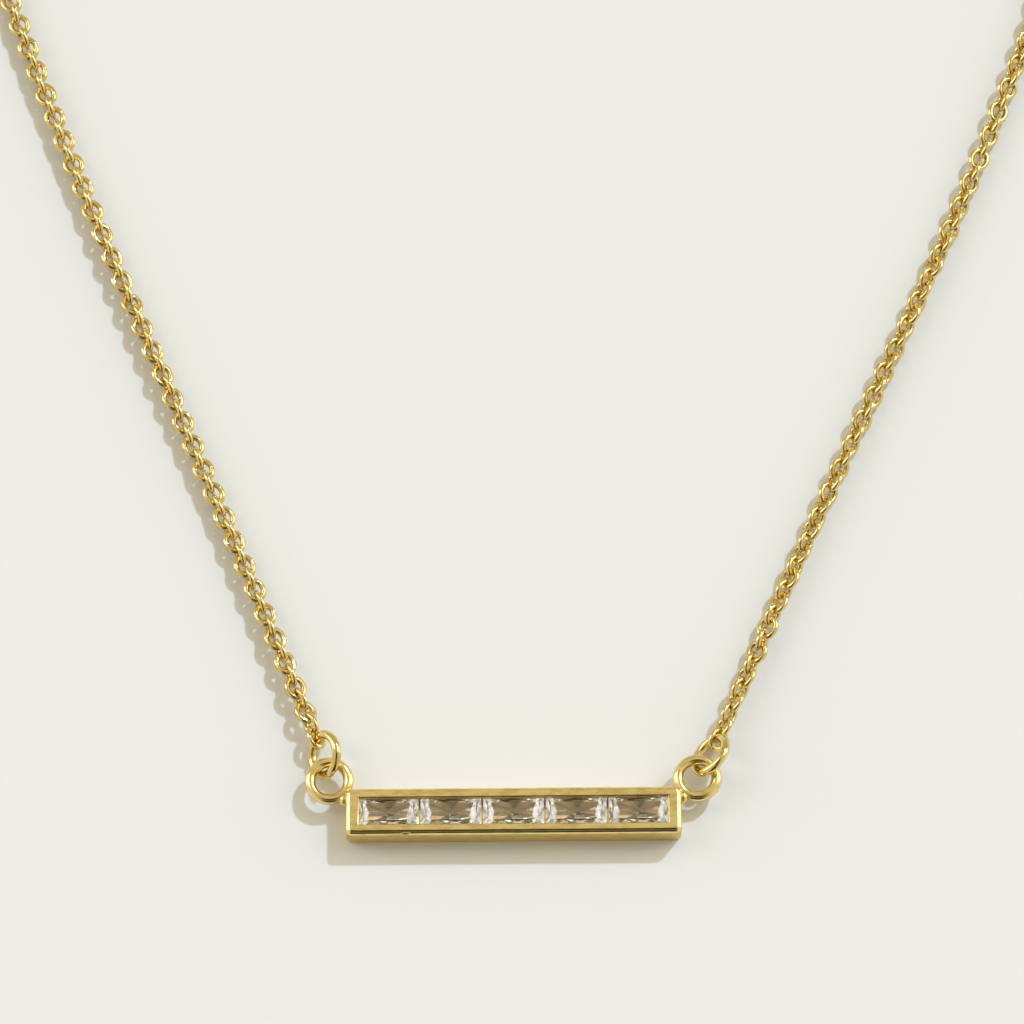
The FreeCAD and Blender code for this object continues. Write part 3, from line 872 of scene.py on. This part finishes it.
# %% Set the stones
for index in range(STONE_COUNT):
    x = (index - (STONE_COUNT - 1) / 2) * STONE_PITCH
    stone = rough_stone.copy()
    stone.data = rough_stone.data.copy()
    bpy.context.collection.objects.link(stone)
    place_in_mesh(stone, Matrix.Translation((x, 0, GIRDLE_HEIGHT)))
    finish_piece(stone, f"stone_{index + 1}_cut", crystal, "stone", f"stone_{index + 1}")
bpy.data.objects.remove(rough_stone)

# %% [markdown]
# ## The table
#
# The necklace lies on pale matt paper. Paper is never one flat tone, so two close whites are mixed in wide soft clouds
# and a fine tooth is bumped in. Both are kept so faint that they only take the plastic look off.

# %% The table
PAPER = (0.805, 0.81, 0.806, 1.0)
PAPER_DIM = (0.79, 0.795, 0.791, 1.0)
CLOUDS = 25.0
TOOTH = 4000.0
TOOTH_DEPTH = 0.01 * MM
TABLE_SIDE = 6.0


def build_paper():
    """Pale matt paper with a very faint tooth."""
    material = bpy.data.materials.new("paper")
    material.use_nodes = True
    tree = material.node_tree
    shader = tree.nodes["Principled BSDF"]
    place = tree.nodes.new("ShaderNodeTexCoord")
    clouds = new_node(tree, "ShaderNodeTexNoise", Scale=CLOUDS, Detail=2.0)
    tooth = new_node(tree, "ShaderNodeTexNoise", Scale=TOOTH, Detail=2.0)
    relief = new_node(tree, "ShaderNodeBump", Distance=TOOTH_DEPTH, Strength=0.15)
    tree.links.new(place.outputs["Object"], clouds.inputs["Vector"])
    tree.links.new(place.outputs["Object"], tooth.inputs["Vector"])
    tree.links.new(tooth.outputs["Fac"], relief.inputs["Height"])
    tree.links.new(mix_colours(tree, clouds.outputs["Fac"], PAPER_DIM, PAPER), shader.inputs["Base Color"])
    tree.links.new(relief.outputs["Normal"], shader.inputs["Normal"])
    shader.inputs["Roughness"].default_value = 0.9
    shader.inputs["Specular IOR Level"].default_value = 0.2
    return material


bpy.ops.object.select_all(action="DESELECT")
bpy.ops.mesh.primitive_plane_add(size=TABLE_SIDE)
table = bpy.context.object
table.name = "table"
table.data.materials.append(build_paper())
table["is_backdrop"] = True
print("table:", len(table.data.materials[0].node_tree.nodes), "nodes in its paper")

# %% [markdown]
# ## The sun
#
# The sun stands halfway up at the upper right and throws short soft shadows. An area lamp near by would make them
# spread apart, and the real ones are parallel. It is a little blue, so that the shadows turn warm against it.

# %% The sun
SUN_FROM = Vector((1.52, 1.83, 2.3))
SUN_STRENGTH = 1.75
SUN_ANGLE = math.radians(3.0)
SUN_COLOUR = (0.665, 0.805, 1.0)

bpy.ops.object.light_add(type="SUN", location=SUN_FROM * 0.2)
sun = bpy.context.object
sun.rotation_euler = SUN_FROM.to_track_quat("Z", "Y").to_euler()
sun.data.energy = SUN_STRENGTH
sun.data.angle = SUN_ANGLE
sun.data.color = SUN_COLOUR
print("sun from", [round(c, 2) for c in SUN_FROM.normalized()])

# %% [markdown]
# ## The room that the gold reflects
#
# Polished metal shows whatever stands round it, so the room matters as much as the sun. It could be built from panels,
# but their edges would show in the gold. Here it is a sky made of a few smooth steps, from dim on the camera's side of
# the table to bright and warm on the far side.

# %% A warm sky in smooth steps
WARM = (1.0, 0.895, 0.68, 1.0)
SKY = ((-1.0, 0.01), (-0.93, 0.05), (-0.67, 0.2), (-0.29, 0.44), (0.0, 0.6), (0.31, 0.66), (1.0, 0.58))

world = bpy.data.worlds.new("room")
world.use_nodes = True
tree = world.node_tree
direction = tree.nodes.new("ShaderNodeTexCoord")
split = tree.nodes.new("ShaderNodeSeparateXYZ")
tree.links.new(direction.outputs["Generated"], split.inputs["Vector"])
fade = tree.nodes.new("ShaderNodeValToRGB")
fade.color_ramp.interpolation = "EASE"
while len(fade.color_ramp.elements) < len(SKY):
    fade.color_ramp.elements.new(0.5)
for element, (level, radiance) in zip(fade.color_ramp.elements, SKY):
    element.position = (level + 1) / 2
    element.color = (radiance, radiance, radiance, 1.0)
tree.links.new(maths(tree, "MULTIPLY_ADD", split.outputs["Y"], 0.5, 0.5), fade.inputs["Fac"])
print("sky from", SKY[0][1], "to", SKY[-1][1], "in", len(SKY), "steps")

# %% [markdown]
# ## What stands beside the camera
#
# On the camera's side the room is bright to the left and right, and the camera itself hangs in between and shades the
# work. So the near side is lifted away from the middle, and a round spot is taken out of it where the camera is. The
# spot gives the rails' front faces their calm tone and keeps the stones' tables clear.

# %% Light beside the camera, and its own dark spot
BESIDE = 0.76
BESIDE_EDGE = (0.25, 0.6)
LENS_SHADE = (-math.cos(math.radians(11)), -math.cos(math.radians(19)))
LENS_DARK = 0.08

outward = maths(tree, "ABSOLUTE", split.outputs["X"])
near_side = maths(tree, "LESS_THAN", split.outputs["Y"], 0.0)
beside = maths(tree, "MULTIPLY", soft_step(tree, outward, *BESIDE_EDGE), near_side)
behind = maths(tree, "MULTIPLY", fade.outputs["Color"], maths(tree, "SUBTRACT", 1.0, beside))
lens = new_node(tree, "ShaderNodeVectorMath")
lens.operation = "DOT_PRODUCT"
lens.inputs[1].default_value = away
tree.links.new(direction.outputs["Generated"], lens.inputs[0])
clear_of_lens = soft_step(tree, maths(tree, "MULTIPLY", lens.outputs["Value"], -1.0), *LENS_SHADE)
sky = maths(tree, "MULTIPLY_ADD", beside, BESIDE, behind)
sky = maths(tree, "MULTIPLY", sky, maths(tree, "MULTIPLY_ADD", clear_of_lens, 1 - LENS_DARK, LENS_DARK))
print("the camera's spot is dimmed to", LENS_DARK)

# %% [markdown]
# ## Daylight at both sides
#
# The bar's ends and the rings show near-white glints, which come from windows low at the left and right. They are
# brighter and paler than the sky, so they are a light of their own, added to it.

# %% Daylight at both sides, and the whole room
DAYLIGHT = (1.0, 0.97, 0.86, 1.0)
SIDE_GLOW = 2.4
SIDE_EDGE = (0.38, 0.52)
SIDE_FROM = (0.02, 0.18)
SIDE_TO = (0.52, 0.36)

sideways = soft_step(tree, outward, *SIDE_EDGE)
not_near = soft_step(tree, split.outputs["Y"], *SIDE_FROM)
not_far = soft_step(tree, split.outputs["Y"], *SIDE_TO)
across = maths(tree, "MULTIPLY", not_near, not_far)
glow = maths(tree, "MULTIPLY", maths(tree, "MULTIPLY", sideways, across), SIDE_GLOW)
room = tree.nodes["Background"]
room.inputs["Color"].default_value = WARM
tree.links.new(sky, room.inputs["Strength"])
windows = new_node(tree, "ShaderNodeBackground", Color=DAYLIGHT)
tree.links.new(glow, windows.inputs["Strength"])
both = tree.nodes.new("ShaderNodeAddShader")
tree.links.new(room.outputs[0], both.inputs[0])
tree.links.new(windows.outputs[0], both.inputs[1])
tree.links.new(both.outputs[0], tree.nodes["World Output"].inputs["Surface"])
bpy.context.scene.world = world
print("the whole room:", len(tree.nodes), "nodes")

# %% [markdown]
# ## How the picture is taken
#
# The plain view transform keeps the pale paper pale. Light has to pass many facets and bounce many times between gold
# walls before it comes out of a stone, so the numbers of bounces are raised.

# %% Set the picture up
bpy.context.scene.view_settings.view_transform = "Standard"
bpy.context.scene.cycles.max_bounces = 32
bpy.context.scene.cycles.glossy_bounces = 24
bpy.context.scene.cycles.transmission_bounces = 24

# %% [markdown]
# ## The sizes
#
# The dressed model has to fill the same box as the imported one. Both boxes are written down, so they can be compared.

# %% Write the sizes and finish
visual_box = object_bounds()
for name, box in (("packed", cad_box), ("dressed", visual_box)):
    print(name, "box in mm:", [[round(c / MM, 2) for c in corner] for corner in box])
